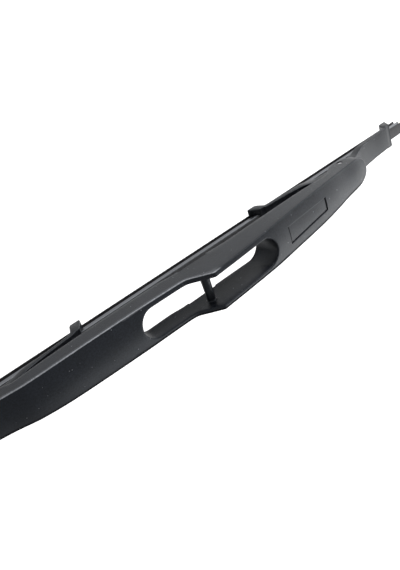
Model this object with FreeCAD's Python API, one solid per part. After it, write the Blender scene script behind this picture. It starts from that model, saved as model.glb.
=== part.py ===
import FreeCAD, Part
import os

V = FreeCAD.Vector

# Frame: millimetres, +X along the blade, +Z away from the glass.
# The origin is the centre of the moulded cross pin.

# Bridge, set symmetrically about the middle of the blade
blade_middle_x = 1.4
bridge_half_length = 116.0
bridge_half_width = 9.2
bridge_depth_below = 24.0
crown_height = 1.3
edge_round = 0.7
wall_thickness = 2.0
top_thickness = 2.0
skirt_z = -8.8
skirt_end_z = -15.8
notch_half_length = 8.0
notch_depth = 0.6
nose_radius = 9.3
flare_length = 17.4

# Spine stations: distance from the bridge's end, edge height, narrowing of the half width
end_stations = [(0.0, -9.2, 2.2), (8.0, -7.2, 1.9), (19.4, -5.2, 1.5)]
left_stations = [(30.0, -3.5, 1.0), (42.6, -2.4, 0.5), (60.6, -1.9, 0.2)]
right_stations = [(63.4, 1.8, 0.2), (45.4, -0.9, 0.5), (31.4, -3.2, 1.0)]

# Spine stations near the slot: distance from the pin, edge height, narrowing
saddle_stations = [(-36.0, -1.2, 0.05), (-22.0, -0.5, 0.0), (-12.0, 0.3, 0.0)]
ramp_stations = [(-9.8, 0.8, 0.0), (-7.6, 2.1, 0.0), (-4.0, 5.0, 0.0)]
peak_station = (0.0, 8.3, 0.0)
slope_stations = [(12.0, 7.4, 0.0), (24.0, 6.2, 0.0), (36.0, 4.7, 0.05)]

# Slot and cross pin
slot_half_width = 6.6
slot_left_centre = -28.0
slot_right_centre = 31.0
slot_wall = 2.0
pin_radius = 1.75
pin_overlap = 0.6

# Label recess on the right part of the spine
panel_depth = 0.35
panel_left_x = 48.5
panel_right_x = 78.0
panel_left_half = 4.9
panel_right_half = 3.9

# Yokes
pivot_inset = 13.0
pivot_z = -13.0
pivot_radius = 1.5
pivot_hole_clearance = 0.05
pivot_pin_half_length = 7.1
inner_claw_offset = 49.6
claw_length = 5.0
claw_half_width = 6.3
arm_half_width = 5.9
waist_half_width = 4.6
waist_half_length = 14.0
hub_half_length = 3.9
arm_taper = 10.0
claw_top_z = -19.3
claw_bottom_z = -26.6
yoke_web = 1.6
claw_slot_depth = 8.0

# Rubber element and rails
rubber_half_length = 165.0
head_top_z = -21.3
head_half_width = 2.9
groove_top_z = -22.3
rail_thickness = 1.0
rail_width = 2.2
rail_half_length = 162.0
head_bottom_z = -24.4
neck_half_width = 1.1
shoulder_top_z = -26.9
shoulder_half_width = 2.9
lip_top_z = -28.6
lip_bottom_z = -31.2
lip_half_width = 0.4
claw_side_clearance = 0.25
claw_lift_clearance = 0.2
lip_slot_clearance = 0.45

# Values that follow from the ones above
cutter_reach = 1.5 * bridge_depth_below
rail_outer_y = 3.25
rail_inner_y = rail_outer_y - rail_width
channel_half_width = rail_outer_y + claw_side_clearance
channel_roof_z = head_top_z + claw_lift_clearance
claw_slot_z = head_bottom_z - claw_lift_clearance
pivot_x = blade_middle_x + bridge_half_length - pivot_inset
left_pivot_x = 2.0 * blade_middle_x - pivot_x
yoke_inner_end = blade_middle_x + inner_claw_offset
yoke_outer_end = 2.0 * pivot_x - yoke_inner_end


def prism_xz(points, half_width):
    """Extrude a closed outline in the XZ plane symmetrically along Y."""
    wire = Part.makePolygon([V(x, -half_width, z) for x, z in points + points[:1]])
    return Part.Face(wire).extrude(V(0, 2.0 * half_width, 0))


def prism_xy(points, low_z, high_z):
    """Extrude a closed outline in the XY plane from low_z to high_z."""
    wire = Part.makePolygon([V(x, y, low_z) for x, y in points + points[:1]])
    return Part.Face(wire).extrude(V(0, 0, high_z - low_z))


def cross_cylinder(x, z, radius, half_length):
    """A cylinder across the blade, centred on its long middle plane."""
    start = V(x, -half_length, z)
    return Part.makeCylinder(radius, 2.0 * half_length, start, V(0, 1, 0))


def stadium(left_x, right_x, radius, low_z, high_z):
    """A solid with straight sides and round ends, standing along Z."""
    height = high_z - low_z
    box = Part.makeBox(right_x - left_x, 2.0 * radius, height, V(left_x, -radius, low_z))
    left = Part.makeCylinder(radius, height, V(left_x, 0, low_z))
    right = Part.makeCylinder(radius, height, V(right_x, 0, low_z))
    return box.fuse([left, right]).removeSplitter()


def section_wire(x, edge_z, half_width):
    """One cross section of the crowned cover, with rounded upper edges."""
    r = edge_round
    bevel = 0.29 * r
    bottom = -bridge_depth_below
    corner_rise = crown_height * (1.0 - ((half_width - r) / half_width) ** 2)
    low_left = V(x, -half_width, bottom)
    low_right = V(x, half_width, bottom)
    side_left = V(x, -half_width, edge_z - r)
    side_right = V(x, half_width, edge_z - r)
    top_left = V(x, -half_width + r, edge_z + corner_rise)
    top_right = V(x, half_width - r, edge_z + corner_rise)
    mid_left = V(x, -half_width + bevel, edge_z - bevel + 0.5 * corner_rise)
    mid_right = V(x, half_width - bevel, edge_z - bevel + 0.5 * corner_rise)
    edges = [
        Part.makeLine(low_left, low_right),
        Part.makeLine(low_right, side_right),
        Part.Arc(side_right, mid_right, top_right).toShape(),
        Part.Arc(top_right, V(x, 0, edge_z + crown_height), top_left).toShape(),
        Part.Arc(top_left, mid_left, side_left).toShape(),
        Part.makeLine(side_left, low_left),
    ]
    return Part.Wire(edges)


def from_end(side, stations):
    """Turn distances from one end of the bridge into positions along X."""
    return [(blade_middle_x + side * (bridge_half_length - d), z, n) for d, z, n in stations]


def spine_rows():
    """The stations left of the ramp, on the ramp and right of the peak."""
    left = from_end(-1.0, end_stations + left_stations) + saddle_stations
    ramp = saddle_stations[-1:] + ramp_stations + [peak_station]
    right = [peak_station] + slope_stations
    right += from_end(1.0, right_stations + end_stations[::-1])
    return left, ramp, right


def cover_solid():
    """The outer cover as three lofts that meet at the ramp and at the peak."""
    lofts = []
    for row in spine_rows():
        wires = [section_wire(x, z, bridge_half_width - n) for x, z, n in row]
        lofts.append(Part.makeLoft(wires, True, False))
    return lofts[0].fuse(lofts[1:])


def mirrored(points):
    """Mirror side outline points about the middle of the blade."""
    return [(2.0 * blade_middle_x - x, z) for x, z in reversed(points)]


def skirt_profile():
    """Side outline whose lower edge is the bottom of the bridge's walls."""
    right = [
        (pivot_x - flare_length, skirt_z),
        (pivot_x - 0.77 * flare_length, skirt_z - 1.1),
        (pivot_x - 0.43 * flare_length, skirt_end_z + 1.8),
        (pivot_x - 0.25 * flare_length, skirt_end_z + 0.5),
        (pivot_x, skirt_end_z),
        (pivot_x + 0.28 * pivot_inset, skirt_end_z + 0.5),
        (pivot_x + 0.58 * pivot_inset, skirt_end_z + 2.2),
        (pivot_x + 1.08 * pivot_inset, skirt_end_z + 4.2),
    ]
    upper = [(right[-1][0], bridge_depth_below)]
    return mirrored(right) + right + upper + mirrored(upper)


def pocket_outline():
    """Outline along X of the hollow under the spine."""
    left, ramp, right = spine_rows()
    half = bridge_half_width - wall_thickness
    side = [(x, half - n) for x, z, n in left + right[1:]]
    return side + [(x, -y) for x, y in reversed(side)]


def pocket_solid(cover):
    """The hollow under the spine on both sides of the slot."""
    prism = prism_xy(pocket_outline(), -cutter_reach, cutter_reach)
    lowered = cover.translated(V(0, 0, -top_thickness))
    kept = stadium(
        slot_left_centre, slot_right_centre, slot_half_width + slot_wall,
        -cutter_reach, cutter_reach,
    )
    return prism.common(lowered).cut(kept)


def panel_recess(cover):
    """Shallow recess that follows the crowned spine."""
    outline = [
        (panel_left_x, -panel_left_half),
        (panel_right_x, -panel_right_half),
        (panel_right_x, panel_right_half),
        (panel_left_x, panel_left_half),
    ]
    prism = prism_xy(outline, skirt_z, cutter_reach)
    return prism.cut(cover.translated(V(0, 0, -panel_depth)))


def make_bridge():
    """Cover with slot, cross pin, hollow ends, label recess and pivot holes."""
    cover = cover_solid()
    reach = bridge_half_length - nose_radius
    plan = stadium(
        blade_middle_x - reach, blade_middle_x + reach, nose_radius,
        -cutter_reach, cutter_reach,
    )
    body = cover.common(plan).common(prism_xz(skirt_profile(), cutter_reach))
    body = body.cut(pocket_solid(cover))
    slot = stadium(
        slot_left_centre, slot_right_centre, slot_half_width,
        -cutter_reach, cutter_reach,
    )
    body = body.cut(slot)
    notch = Part.makeBox(
        2.0 * notch_half_length, 2.0 * cutter_reach, 2.0 * notch_depth,
        V(-notch_half_length, -cutter_reach, skirt_z - notch_depth),
    )
    body = body.cut(notch)
    body = body.cut(panel_recess(cover))
    pin_half = slot_half_width + pin_overlap
    body = body.fuse(cross_cylinder(0.0, 0.0, pin_radius, pin_half))
    for x in (left_pivot_x, pivot_x):
        body = body.cut(cross_cylinder(x, pivot_z, pivot_radius, cutter_reach))
    return body.removeSplitter()


def yoke_top():
    """Upper side outline of the yoke from its inner to its outer claw."""
    reach = pivot_x - yoke_inner_end
    half = [
        (yoke_inner_end, claw_top_z),
        (yoke_inner_end + claw_length, claw_top_z + 0.4),
        (pivot_x - 0.64 * reach, claw_top_z + 2.0),
        (pivot_x - 0.36 * reach, claw_top_z + 4.4),
        (pivot_x - 0.2 * reach, claw_top_z + 6.6),
        (pivot_x - hub_half_length, claw_top_z + 9.5),
    ]
    return half + [(2.0 * pivot_x - x, z) for x, z in reversed(half)]


def yoke_bottom():
    """Lower side outline of the yoke from its outer to its inner claw."""
    reach = pivot_x - yoke_inner_end
    half = [
        (yoke_inner_end, claw_bottom_z),
        (yoke_inner_end + claw_length, claw_bottom_z),
        (yoke_inner_end + claw_length + 2.4, claw_bottom_z + 4.1),
        (pivot_x - 0.64 * reach, claw_bottom_z + 4.9),
        (pivot_x - 0.36 * reach, claw_bottom_z + 6.0),
        (pivot_x - 0.16 * reach, claw_bottom_z + 8.6),
    ]
    return [(2.0 * pivot_x - x, z) for x, z in half] + list(reversed(half))


def yoke_plan():
    """Outline of the yoke seen along Z: wide claws, arms and a narrow waist."""
    half = [
        (yoke_inner_end, claw_half_width),
        (yoke_inner_end + claw_length, claw_half_width),
        (yoke_inner_end + claw_length + 3.0, arm_half_width),
        (pivot_x - waist_half_length - arm_taper, arm_half_width),
        (pivot_x - waist_half_length, waist_half_width),
    ]
    upper = half + [(2.0 * pivot_x - x, y) for x, y in reversed(half)]
    return upper + [(x, -y) for x, y in reversed(upper)]


def make_right_yoke():
    """Channel-shaped lever with a claw at each end and a pivot hole."""
    body = prism_xz(yoke_top() + yoke_bottom(), cutter_reach)
    body = body.common(prism_xy(yoke_plan(), -cutter_reach, cutter_reach))
    roof = [(x, z - yoke_web) for x, z in yoke_top()]
    roof[0] = (yoke_inner_end - 1.0, channel_roof_z)
    roof[1] = (yoke_inner_end + claw_length, channel_roof_z)
    roof[-1] = (yoke_outer_end + 1.0, channel_roof_z)
    roof[-2] = (yoke_outer_end - claw_length, channel_roof_z)
    channel = roof + [(yoke_outer_end + 1.0, claw_slot_z), (yoke_inner_end - 1.0, claw_slot_z)]
    body = body.cut(prism_xz(channel, channel_half_width))
    slot_half = neck_half_width + lip_slot_clearance
    body = body.cut(Part.makeBox(
        yoke_outer_end - yoke_inner_end + 2.0, 2.0 * slot_half, claw_slot_depth,
        V(yoke_inner_end - 1.0, -slot_half, claw_slot_z + 0.5 - claw_slot_depth),
    ))
    hole = cross_cylinder(pivot_x, pivot_z, pivot_radius + pivot_hole_clearance, cutter_reach)
    return body.cut(hole).removeSplitter()


def make_pivot_pin(middle_x):
    """Plain steel pin, its ends just inside the bridge's walls."""
    return cross_cylinder(middle_x, pivot_z, pivot_radius, pivot_pin_half_length)


def make_rubber():
    """Rubber element: head with two side grooves, neck, shoulders and lip."""
    groove_bottom_z = groove_top_z - rail_thickness
    right = [
        (head_half_width, head_top_z),
        (head_half_width, groove_top_z),
        (rail_inner_y, groove_top_z),
        (rail_inner_y, groove_bottom_z),
        (head_half_width, groove_bottom_z),
        (head_half_width, head_bottom_z),
        (neck_half_width, head_bottom_z),
        (neck_half_width, shoulder_top_z),
        (shoulder_half_width, shoulder_top_z),
        (shoulder_half_width - 0.3, shoulder_top_z - 0.6),
        (lip_half_width, lip_top_z),
        (lip_half_width, lip_bottom_z),
    ]
    outline = right + [(-y, z) for y, z in reversed(right)]
    left_end = blade_middle_x - rubber_half_length
    points = [V(left_end, y, z) for y, z in outline + outline[:1]]
    face = Part.Face(Part.makePolygon(points))
    return face.extrude(V(2.0 * rubber_half_length, 0, 0))


def make_rail(side):
    """Flat steel strip in one side groove of the rubber's head."""
    low_y = min(side * rail_inner_y, side * rail_outer_y)
    corner = V(blade_middle_x - rail_half_length, low_y, groove_top_z - rail_thickness)
    return Part.makeBox(2.0 * rail_half_length, rail_width, rail_thickness, corner)


def save(name, shape):
    """Write one node after checking that it is a valid solid."""
    if not shape.isValid():
        raise ValueError(name + " is not a valid shape")
    print(name, len(shape.Solids), round(shape.Volume, 1), shape.BoundBox)
    shape.exportStep("parts/" + name + ".step")


os.makedirs("parts", exist_ok=True)
right_yoke = make_right_yoke()
save("bridge", make_bridge())
save("yoke_right", right_yoke)
save("yoke_left", right_yoke.mirror(V(blade_middle_x, 0, 0), V(1, 0, 0)))
save("pivot_pin_left", make_pivot_pin(left_pivot_x))
save("pivot_pin_right", make_pivot_pin(pivot_x))
save("rubber_element", make_rubber())
save("rail_near", make_rail(1.0))
save("rail_far", make_rail(-1.0))
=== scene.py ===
import math

import bmesh
import bpy
import numpy as np
from mathutils import Matrix, Vector


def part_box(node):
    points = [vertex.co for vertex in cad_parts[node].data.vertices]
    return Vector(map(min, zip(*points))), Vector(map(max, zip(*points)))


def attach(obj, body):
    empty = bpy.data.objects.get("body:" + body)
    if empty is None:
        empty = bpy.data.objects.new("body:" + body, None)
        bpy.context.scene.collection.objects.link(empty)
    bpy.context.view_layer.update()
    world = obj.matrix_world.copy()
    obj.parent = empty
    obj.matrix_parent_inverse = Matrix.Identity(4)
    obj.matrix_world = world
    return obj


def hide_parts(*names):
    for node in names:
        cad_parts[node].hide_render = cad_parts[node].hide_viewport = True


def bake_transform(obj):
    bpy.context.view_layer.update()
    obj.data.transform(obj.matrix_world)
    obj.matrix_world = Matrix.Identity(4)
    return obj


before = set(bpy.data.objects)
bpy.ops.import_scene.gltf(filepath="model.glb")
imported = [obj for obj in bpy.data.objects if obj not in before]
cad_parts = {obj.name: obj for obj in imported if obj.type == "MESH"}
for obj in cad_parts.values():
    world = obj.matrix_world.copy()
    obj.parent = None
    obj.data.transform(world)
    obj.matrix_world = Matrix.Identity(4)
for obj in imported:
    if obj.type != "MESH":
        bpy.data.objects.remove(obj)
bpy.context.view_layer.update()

# Lengths are millimetres, and every mesh is written in metres. X runs along the blade, Y towards
# the near side and Z upwards.
MM = 0.001


def node_box(name):
    """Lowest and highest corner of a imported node, in millimetres."""
    low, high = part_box(name)
    return np.array(low) / MM, np.array(high) / MM


bridge_low, bridge_high = node_box("bridge")
rubber_low, rubber_high = node_box("rubber_element")
rail_low, rail_high = node_box("rail_near")
pin_low, pin_high = node_box("pivot_pin_right")
yoke_low, yoke_high = node_box("yoke_right")

BLADE_MIDDLE = 0.5 * (rubber_low[0] + rubber_high[0])
BRIDGE_HALF = 0.5 * (bridge_high[0] - bridge_low[0])
BRIDGE_WIDTH = bridge_high[1]
PIVOT_X = 0.5 * (pin_low[0] + pin_high[0])
PIVOT_Z = 0.5 * (pin_low[2] + pin_high[2])
PIVOT_RADIUS = 0.5 * (pin_high[0] - pin_low[0])
YOKE_REACH = PIVOT_X - yoke_low[0]

# Spine: place along the blade and height of the spine's edge
SPINE_END = [(0.0, -9.2), (8.0, -7.2), (19.4, -5.2)]
SPINE_LEFT = [(-84.6, -2.8), (-72.0, -1.7), (-54.0, -1.1), (-36.0, -0.55), (-22.0, -0.15)]
SPINE_RAMP = [(-13.0, 0.2), (-10.2, 0.55), (-9.0, 1.0), (-7.8, 1.9), (-4.0, 5.2), (0.0, 8.55)]
SPINE_RIGHT = [(0.0, 8.55), (12.0, 7.6), (24.0, 6.45), (36.0, 5.1), (54.0, 2.3),
               (72.0, -0.4), (86.0, -2.8)]
PEAK_ROUNDING = 0.45
CROWN = 1.3

# Rounding of the spine's edges, the near one softer right of the hump
NEAR_ROUNDING_LEFT = 0.45
NEAR_ROUNDING_RIGHT = 0.93
SOFTER_FROM = 10.0
SOFTER_FADE = 8.0
FAR_ROUNDING = 0.7
ROUNDING_STEPS = 5
SLOPE_STEP = 0.15

# Half width of the bridge, as narrowing at distances from its end, and its rounded noses
NARROWING = [(0.0, 2.2), (8.0, 1.9), (19.4, 1.4), (30.0, 0.75), (44.0, 0.15), (62.0, -0.15),
             (80.0, -0.25), (95.0, -0.1), (108.0, 0.0)]
NOSE_LENGTH = 9.0
NOSE_POWER = 2.4

# Lower edge of the walls: height at distances from the pivot, and level in the middle
SKIRT = [(-17.4, -8.8), (-13.4, -9.9), (-7.5, -14.0), (-4.4, -15.3), (0.0, -15.8),
         (3.6, -15.3), (7.5, -13.6), (14.0, -11.6)]
SKIRT_START = 60.0
SKIRT_MID = -8.8
# The left part is deeper, up to DEEP_END
SKIRT_LEFT = -9.7
DEEP_END = -13.0
DEEP_FADE = 4.0
# The near wall's lower edge rises between the hump and the right yoke: place and rise
NEAR_RISE = [(9.4, 0.0), (14.0, 0.5), (22.0, 1.1), (43.0, 0.9), (57.0, 0.5), (70.0, 0.2),
             (84.0, 0.0)]
NEAR_FADE = 5.0
FOOT_ROUNDING = 0.3
FOOT_STEPS = 3
WALL_ROWS = 6
WALL = 2.0
ROOF = 2.0

# Slot, cross pin and notch
SLOT_HALF = 6.8
SLOT_LEFT = -28.0
SLOT_RIGHT = 30.3
SLOT_WALL = 2.0
RIM_ROUNDING = 0.6
CROSS_PIN = 1.85
PIN_DRAFT = 0.021
PIN_PLAIN = 4.0
PIN_ROOT = 0.8
PIN_ROOT_STEPS = 6
PIN_SUNK = 1.0
PIN_FACES = 40
NOTCH_HALF = 8.0
NOTCH_DEPTH = 0.9

# Label recess, with a groove along its border
PANEL_LEFT = 47.0
PANEL_RIGHT = 77.4
PANEL_LEFT_HALF = 4.3
PANEL_RIGHT_HALF = 3.3
PANEL_DEPTH = 0.7
PANEL_FLOOR = 0.35
PANEL_GROOVE = 0.55
PANEL_SLOPE = 0.12
PANEL_ROOM = 1.0
# Mesh lines across the border, as distances inwards from it
PANEL_BORDER = [-0.3, -PANEL_SLOPE, 0.0, PANEL_SLOPE, PANEL_GROOVE - PANEL_SLOPE, PANEL_GROOVE,
                PANEL_GROOVE + PANEL_SLOPE]

# Lengthwise mesh lines of the spine: inside the label's border and from it to the edge
LABEL_LEAD = 4.0
LABEL_SHARE = 0.62
INNER_GAP = 0.95
INNER_LINES = 6
OUTER_GAP = 0.6
OUTER_LINES = 5
EDGE_GAP = 0.15

# Mesh lines round the slot, which meet the plain ends at RING_LEFT and RING_RIGHT
RING_LEFT = -42.0
RING_RIGHT = 45.0
SPOKE_STEPS = 7
END_SPOKES = 10
END_SECTIONS = 36
NOSE_STEPS = 16
# Columns along the slot's straight sides, close together on the hump: start, end and count
LANES = [(SLOT_LEFT, -14.0, 10), (-14.0, 3.0, 46), (3.0, SLOT_RIGHT, 19)]

# Cutting solids reach past what they cut
CUT_LOW = -40.0
CUT_SIDE = 20.0
HOLLOW_OVER = 3.0
HOLLOW_ROWS = 17
HOLLOW_STEPS = 41

# Polish and painted highlight of the near edge, strongest on the hump: its share left of it,
# places and fades
WEAR_HIGHLIGHT_LEFT = 0.78
WEAR_HIGHLIGHT_START = -98.0
WEAR_HIGHLIGHT_START_FADE = 6.0
WEAR_HIGHLIGHT_HUMP = -10.0
WEAR_HIGHLIGHT_END = 2.5
WEAR_HIGHLIGHT_FADE = 2.5
WEAR_HIGHLIGHT_YOKE = 0.1
# How far round the edge the polish and its painted highlight go, in radii of the rounding
WEAR_HIGHLIGHT_REACH = 1.5
WEAR_HIGHLIGHT_TURN = 0.4
WEAR_HIGHLIGHT_LIMIT_BRIDGE = 0.85
WEAR_HIGHLIGHT_LIMIT_YOKE = 0.75

# Dull strip along the far edge, rougher and darkened by painted shade
DULL_AND_SHADE_EDGE = 1.3
DULL_AND_SHADE_DOWN = 0.7
DULL_AND_SHADE_FADE = 0.35

# Claws, arms and channel of a yoke
CLAW_LENGTH = 5.0
CLAW_HALF = 6.3
CLAW_SLANT = 4.2
CLAW_RISE = 6.4
CLAW_TIP = 1.2
ARM_HALF = 5.9
WAIST_HALF = 4.6
YOKE_ROUNDING = 0.6
CORNER_STEPS = 4
WEB = 1.6
CHANNEL_HALF = 3.5
CHANNEL_DEPTH = 3.3
CHANNEL_STEPS = 90
LIFT_GAP = 0.2
LIP_SLOT_HALF = 1.55
LIP_SLOT_RISE = 0.5
PIVOT_GAP = 0.05
# Upper edge: distance from the pivot, depth under the yoke's top, share of the arm's drop
ARM_TOP = [(0.0, 0.0, 0.0), (4.5, 0.1, 0.0), (10.7, 2.9, 0.0), (19.2, 4.5, 1.3),
           (34.2, 7.25, 1.3)]
# The same at the claw, as distances from its inner side
CLAW_TOP = [(-2.0, 8.9, 1.0), (1.0, 9.4, 1.0)]
CLAW_END_TOP = (9.5, 1.0)
# Lower edge: distance, height over the yoke's lowest point, share of the arm's thinning
ARM_FOOT = [(0.0, 8.7, 0.0), (8.5, 8.4, 0.0), (19.2, 6.0, 0.8), (34.2, 4.9, 1.0)]
CLAW_FOOT = [(-2.8, 4.1, 0.5), (0.1, 0.4, 0.0), (0.7, 0.0, 0.0)]
CLAW_END_FOOT = (0.0, 0.0)
# Half width: the waist by the pivot, the arms and the claws
WAIST_END = 14.0
ARM_START = 24.0
ARM_END = 3.0
CLAW_START = 0.4
# Rings of the yoke's mesh, and the rounding of its ends as distance from the end and inset
ARM_RINGS = 30
CLAW_RINGS = 13
SLANT_RINGS = 9
CLAW_LEAD = 4.0
TIP_START = 0.4
TIP_ROUNDING = [(0.25, 0.03), (0.1, 0.12), (0.0, 0.32)]
# The right yoke's arms lie lower and the left one's are thinner: drop and thinning
RIGHT_ARMS = (1.4, 0.2)
LEFT_ARMS = (0.6, 2.0)

# Rubber's section: places in from its sides, out from its neck or its middle, and under its top
RUBBER_NECK = 1.1
HEAD_TOP = [(0.5, 0.0), (0.15, 0.08), (0.0, 0.25)]
HEAD_FOOT = [(0.0, 2.8), (0.3, 3.1)]
NECK = [(0.5, 3.1), (0.1, 3.3), (0.0, 3.7), (0.0, 5.1), (0.2, 5.5), (0.6, 5.6)]
SHOULDER = [(0.2, 5.6), (0.0, 5.75), (0.1, 6.0), (0.6, 6.25)]
LIP = [(0.9, 6.9), (0.55, 7.3), (0.42, 7.9)]
LIP_END = [(0.4, 0.15), (0.3, 0.0)]
RAIL_TALLER = 0.6
RAIL_CHAMFER = 0.12
STRIP_STEP = 1.5

# Chamfer of the pivot pins' ends, and faces of a turned form
PIVOT_CHAMFER = 0.3
PIVOT_CHAMFER_LENGTH = 0.25
TURNED_FACES = 48

SHARP_ANGLE = 32.0
MERGE_DISTANCE = 1e-6


def smooth_curve(points):
    """A curve through the points that never overshoots them."""
    xs, ys = (np.array(v, float) for v in zip(*points))
    step = np.diff(xs)
    slope = np.diff(ys) / step
    tangent = np.zeros(len(xs))
    tangent[0], tangent[-1] = slope[0], slope[-1]
    for i in range(1, len(xs) - 1):
        a, b = slope[i - 1], slope[i]
        if a * b > 0:
            wa = 2 * step[i] + step[i - 1]
            wb = step[i] + 2 * step[i - 1]
            tangent[i] = (wa + wb) / (wa / a + wb / b)

    def value(x):
        if x < xs[0]:
            return ys[0] + tangent[0] * (x - xs[0])
        if x > xs[-1]:
            return ys[-1] + tangent[-1] * (x - xs[-1])
        i = int(np.clip(np.searchsorted(xs, x) - 1, 0, len(step) - 1))
        h = step[i]
        t = (x - xs[i]) / h
        return ((1 + 2 * t) * (1 - t) ** 2 * ys[i] + t * (1 - t) ** 2 * h * tangent[i]
                + t * t * (3 - 2 * t) * ys[i + 1] - t * t * (1 - t) * h * tangent[i + 1])
    return value


left_end = BLADE_MIDDLE - BRIDGE_HALF
right_end = BLADE_MIDDLE + BRIDGE_HALF
spine_left = smooth_curve([(left_end + d, z) for d, z in SPINE_END] + SPINE_LEFT + SPINE_RAMP)
spine_right = smooth_curve(
    SPINE_RIGHT + [(right_end - d, z) for d, z in reversed(SPINE_END)])
narrowing = smooth_curve(NARROWING)
near_rise = smooth_curve(NEAR_RISE)
skirt = smooth_curve(
    [(PIVOT_X - SKIRT_START, SKIRT_MID)] + [(PIVOT_X + d, z) for d, z in SKIRT])


def ramp(value, width):
    """Smooth step from 0 to 1 around zero."""
    t = min(max(value / width * 0.5 + 0.5, 0.0), 1.0)
    return t * t * (3 - 2 * t)


def edge_height(x):
    """Height of the spine's edge, with the peak slightly rounded."""
    samples = [x + PEAK_ROUNDING * k for k in (-1.0, -0.5, 0.0, 0.5, 1.0)]
    return sum(spine_left(s) if s < 0 else spine_right(s) for s in samples) / len(samples)


def half_width(x):
    """Half width of the bridge away from its rounded noses."""
    from_end = BRIDGE_HALF - abs(x - BLADE_MIDDLE)
    return BRIDGE_WIDTH - (narrowing(from_end) if from_end < NARROWING[-1][0] else 0.0)


def panel_half(x):
    """Half width of the label recess, carried on past its ends."""
    share = (x - PANEL_LEFT) / (PANEL_RIGHT - PANEL_LEFT)
    return PANEL_LEFT_HALF + (PANEL_RIGHT_HALF - PANEL_LEFT_HALF) * share


def panel_share(x, y, inset):
    """1 inside the label recess, 0 outside, the border moved in except on the near side."""
    along = ramp(x - PANEL_LEFT - inset, PANEL_SLOPE) * ramp(PANEL_RIGHT - inset - x, PANEL_SLOPE)
    edge = panel_half(x) - (inset if y < 0 else 0.0)
    return along * ramp(edge - abs(y), PANEL_SLOPE)


def crown_height(x, y):
    """Height of the crowned spine without the label recess."""
    return edge_height(x) + CROWN * (1.0 - (y / half_width(x)) ** 2)


def spine_height(x, y):
    """Height of the spine, with the label recess and the groove along its floor."""
    z = crown_height(x, y)
    if PANEL_LEFT - PANEL_ROOM < x < PANEL_RIGHT + PANEL_ROOM:
        z -= PANEL_DEPTH * panel_share(x, y, 0.0)
        z += (PANEL_DEPTH - PANEL_FLOOR) * panel_share(x, y, PANEL_GROOVE)
    return z


def bottom_height(x, y):
    """Lower edge of the walls: deeper on the left part, higher on the near right."""
    deep = SKIRT_MID + (SKIRT_LEFT - SKIRT_MID) * ramp(DEEP_END - x, DEEP_FADE)
    low = min(skirt(BLADE_MIDDLE + abs(x - BLADE_MIDDLE)), deep)
    if NEAR_RISE[0][0] < x < NEAR_RISE[-1][0]:
        low += near_rise(x) * ramp(y, NEAR_FADE)
    return low


def edge_radius(x, y):
    """Rounding of the spine's edge: crisp on the near left, softer on the right."""
    if y < 0:
        return FAR_ROUNDING
    softer = ramp(x - SOFTER_FROM, SOFTER_FADE)
    return NEAR_ROUNDING_LEFT + (NEAR_ROUNDING_RIGHT - NEAR_ROUNDING_LEFT) * softer


def rounding(point, outward, radius):
    """Rows of a rounded edge from the spine down to the wall, as (x, y, z)."""
    px, py = point
    ox, oy = outward
    qx, qy = px - radius * ox, py - radius * oy
    dx, dy = SLOPE_STEP * ox, SLOPE_STEP * oy
    rise = (spine_height(qx + dx, qy + dy) - spine_height(qx - dx, qy - dy)) / (2 * SLOPE_STEP)
    lean = -math.atan(rise)
    start = radius * (1.0 - math.sin(lean))
    centre_z = spine_height(px - start * ox, py - start * oy) - radius * math.cos(lean)
    rows = []
    for k in range(ROUNDING_STEPS + 1):
        a = lean + (math.pi / 2 - lean) * k / ROUNDING_STEPS
        d = radius * (1.0 - math.sin(a))
        rows.append((px - d * ox, py - d * oy, centre_z + radius * math.cos(a)))
    return rows


def wall_chain(point, outward, radius):
    """The rounded edge, the wall and the wall's rounded foot, from top to bottom."""
    chain = rounding(point, outward, radius)
    px, py, top = chain[-1]
    low = bottom_height(px, py) + FOOT_ROUNDING
    for k in range(1, WALL_ROWS):
        chain.append((px, py, top + (low - top) * k / WALL_ROWS))
    for k in range(FOOT_STEPS + 1):
        a = math.pi / 2 * k / FOOT_STEPS
        d = FOOT_ROUNDING * (1.0 - math.cos(a))
        z = low - FOOT_ROUNDING * math.sin(a)
        chain.append((px - d * outward[0], py - d * outward[1], z))
    return chain


def line_shares(x):
    """Lengthwise mesh lines at x, from -1 at the far edge to 1 at the near edge."""
    limit = half_width(x) - edge_radius(x, 1.0)
    edge = min(panel_half(max(x, PANEL_LEFT - LABEL_LEAD)), LABEL_SHARE * limit)
    inner = [(edge - INNER_GAP) * k / INNER_LINES for k in range(-INNER_LINES, INNER_LINES + 1)]
    right = [edge - v for v in reversed(PANEL_BORDER)]
    right += list(np.linspace(edge + OUTER_GAP, limit - EDGE_GAP, OUTER_LINES)) + [limit]
    lines = [-v for v in reversed(right)] + inner + right
    return [v / limit for v in lines]


def between(a, b, share):
    """The point at a share of the way from a to b."""
    return tuple(p + (q - p) * share for p, q in zip(a, b))


def new_object(name, data):
    """Put a mesh into the scene as an object at the origin."""
    piece = bpy.data.objects.new(name, data)
    bpy.context.scene.collection.objects.link(piece)
    return piece


def face_outwards(data, merge=0.0):
    """Turn the faces of a closed mesh outwards, after merging points closer than merge."""
    bm = bmesh.new()
    bm.from_mesh(data)
    if merge:
        bmesh.ops.remove_doubles(bm, verts=bm.verts, dist=merge)
    bmesh.ops.recalc_face_normals(bm, faces=bm.faces)
    if bm.calc_volume(signed=True) < 0:
        bmesh.ops.reverse_faces(bm, faces=bm.faces)
    bm.to_mesh(data)
    bm.free()


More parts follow.
